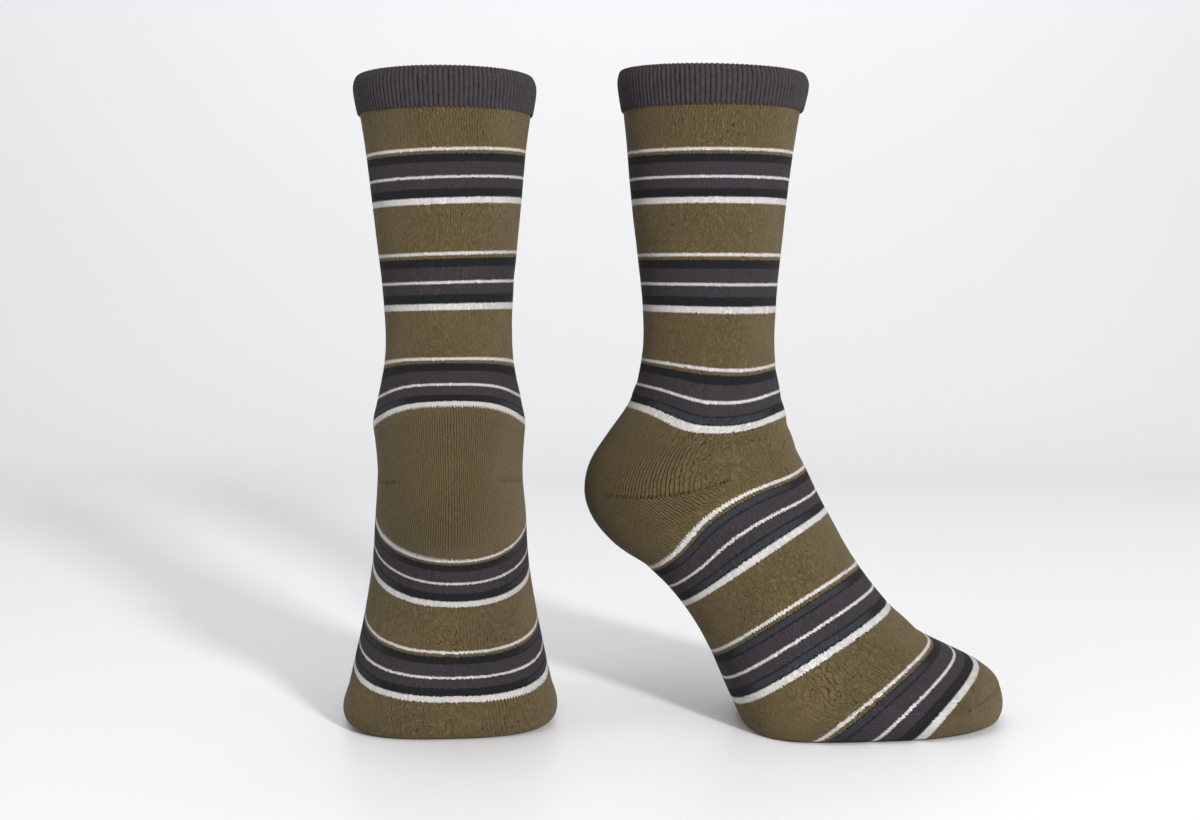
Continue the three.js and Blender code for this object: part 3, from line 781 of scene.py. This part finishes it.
def cuffKnit():
    s = Shader("ribbed_cuff_knit")
    place = s.add("ShaderNodeTexCoord").outputs["Object"]
    wale, rows, tooth = stitchParts(s, place, 1)
    height = stitchHeight(s, wale, rows, tooth)
    mottle = s.ramp(s.noise(place, cuffFinish["mottlePerM"], 3, 0.6), 0.3, 0.7, *cuffFinish["mottle"])
    colour = s.shade(linear(yarns["welt"]), mottle)
    crest = s.named("crest")
    strokes = strokesAlong(s, wale, rows, cuffFinish["strokeSteps"])
    stroked = s.ramp(strokes, 0.3, 0.6, *cuffFinish["valleyStrokes"])
    # painted shade in the valleys between the ribs
    valley = s.math("MULTIPLY", s.ramp(crest, 0.2, 0.75, 1, 0), stroked)
    valley = s.math("MULTIPLY", valley, cuffFinish["valley"])
    colour = s.shade(colour, s.math("SUBTRACT", cuffFinish["top"], valley))
    # painted highlight: lighter strokes on the ribs' crests
    light = s.math("MULTIPLY", s.ramp(crest, 0.86, 1.0), s.ramp(strokes, 0.4, 0.65, 0, cuffFinish["crest"]))
    colour = s.shade(colour, s.math("ADD", 1, light))
    # painted shade between the stitches' rows, lighter on their tops
    colour = s.shade(colour, s.ramp(height, 0.1, 0.9, *cuffFinish["rows"]))
    normal = s.bump(s.math("ADD", height, strokes), cuffFinish["bumpMm"] * mm)
    return s.finish(colour, normal, cuffFinish["roughness"], cuffFinish["sheen"])


def dress(piece, material, slot, flat, *nodes):
    piece.data.materials.append(material)
    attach(piece, "root")
    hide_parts(*nodes)


bodyMaterial = bodyKnit()
cuffMaterial = cuffKnit()
for side, sock in socks.items():
    knitted = makeBody(side + "_sock", sock)
    parts = [side + part for part in ("_leg", "_heel", "_foot", "_toe")]
    dress(knitted, bodyMaterial, "body_knit", body["flat"], *parts)
    welt = makeCuff(side + "_welt", sock)
    dress(welt, cuffMaterial, "cuff_rib", cuff["flat"], side + "_cuff")
print("both socks made")

studio = {
    "floorColour": (241, 241, 243),
    "floorRoughness": 0.4,
    "grainPerM": 900,
    "grainRelief": 0.01 * mm,
    "front": 3,  # m, how far the floor reaches before the socks
    "sweepStart": 1.1,  # and behind them, where it curves up
    "sweepRadius": 0.8,
    "sweepSteps": 24,
    "wall": 3,  # its height above the curve
    "halfWidth": 4,
    "cameraPlace": (-0.0578, -0.9, -0.0964),
    "cameraPitch": 85.6,
    "lens": 51,
    "sensor": 36,
    "worldStrength": 0.36,
    "aim": (-0.03, 0, -0.2),  # of the lamps that have no aim of their own
}
lights = [
    {"name": "key", "place": (1.0, -2.1, 0.72), "size": 0.26, "watts": 58},
    {"name": "fill", "place": (-1.9, -0.9, 0.5), "size": 1.4, "watts": 8},
    {"name": "top", "place": (-0.3, -0.8, 1.9), "size": 1.5, "watts": 13},
    {"name": "side", "place": (1.45, 0.5, -0.1), "size": 0.4, "watts": 3},
    {"name": "paper", "place": (-0.2, 0.5, 1.3), "size": 1.2, "watts": 3, "aim": (-0.3, 1.9, -0.1)},
]


def extrudeEdge(shape, edges, move):
    made = bmesh.ops.extrude_edge_only(shape, edges=edges)["geom"]
    points = [g for g in made if isinstance(g, bmesh.types.BMVert)]
    bmesh.ops.translate(shape, verts=points, vec=move)
    return [g for g in made if isinstance(g, bmesh.types.BMEdge) and all(v in points for v in g.verts)]


def makeStudio():
    paper = Shader("studio_paper")
    place = paper.add("ShaderNodeTexCoord").outputs["Object"]
    grain = paper.noise(place, studio["grainPerM"])
    tone = paper.shade(linear(studio["floorColour"]), paper.ramp(grain, 0.3, 0.7, 0.995, 1.0))
    paper.finish(tone, paper.bump(grain, studio["grainRelief"]), studio["floorRoughness"], 0)
    sweep = bmesh.new()
    start, radius, wide = studio["sweepStart"], studio["sweepRadius"], studio["halfWidth"]
    front = [sweep.verts.new((x, -studio["front"], floorZ)) for x in (-wide, wide)]
    edge = [sweep.edges.new(front)]
    edge = extrudeEdge(sweep, edge, (0, studio["front"] + start, 0))
    centre = Vector((0, start, floorZ + radius))
    step = Matrix.Rotation(math.radians(90 / studio["sweepSteps"]), 3, "X")
    for _ in range(studio["sweepSteps"]):
        edge = extrudeEdge(sweep, edge, (0, 0, 0))
        verts = list({v for e in edge for v in e.verts})
        bmesh.ops.rotate(sweep, verts=verts, cent=centre, matrix=step)
    extrudeEdge(sweep, edge, (0, 0, studio["wall"]))
    bmesh.ops.recalc_face_normals(sweep, faces=sweep.faces)
    mesh = bpy.data.meshes.new("studio_sweep")
    for face in sweep.faces:
        face.smooth = True
    sweep.to_mesh(mesh)
    sweep.free()
    floor = bpy.data.objects.new("studio_sweep", mesh)
    floor.data.materials.append(paper.material)
    bpy.context.collection.objects.link(floor)

    world = bpy.data.worlds.new("studio_world")
    world.use_nodes = True
    world.node_tree.nodes["Background"].inputs["Color"].default_value = (1, 1, 1, 1)
    world.node_tree.nodes["Background"].inputs["Strength"].default_value = studio["worldStrength"]
    bpy.context.scene.world = world
    bpy.context.scene.view_settings.view_transform = "Standard"  # keeps the paper near white
    for light in lights:
        lamp = bpy.data.lights.new(light["name"], "AREA")
        lamp.energy = light["watts"]
        lamp.size = light["size"]
        holder = bpy.data.objects.new(light["name"], lamp)
        holder.location = light["place"]
        aim = Vector(light.get("aim", studio["aim"])) - holder.location
        holder.rotation_euler = aim.to_track_quat("-Z", "Y").to_euler()
        bpy.context.collection.objects.link(holder)
    lens = bpy.data.cameras.new("camera")
    lens.lens = studio["lens"]
    lens.sensor_width = studio["sensor"]
    camera = bpy.data.objects.new("camera", lens)
    camera.location = studio["cameraPlace"]
    camera.rotation_euler = (math.radians(studio["cameraPitch"]), 0, 0)
    bpy.context.collection.objects.link(camera)
    bpy.context.scene.camera = camera
    print("studio made")


makeStudio()
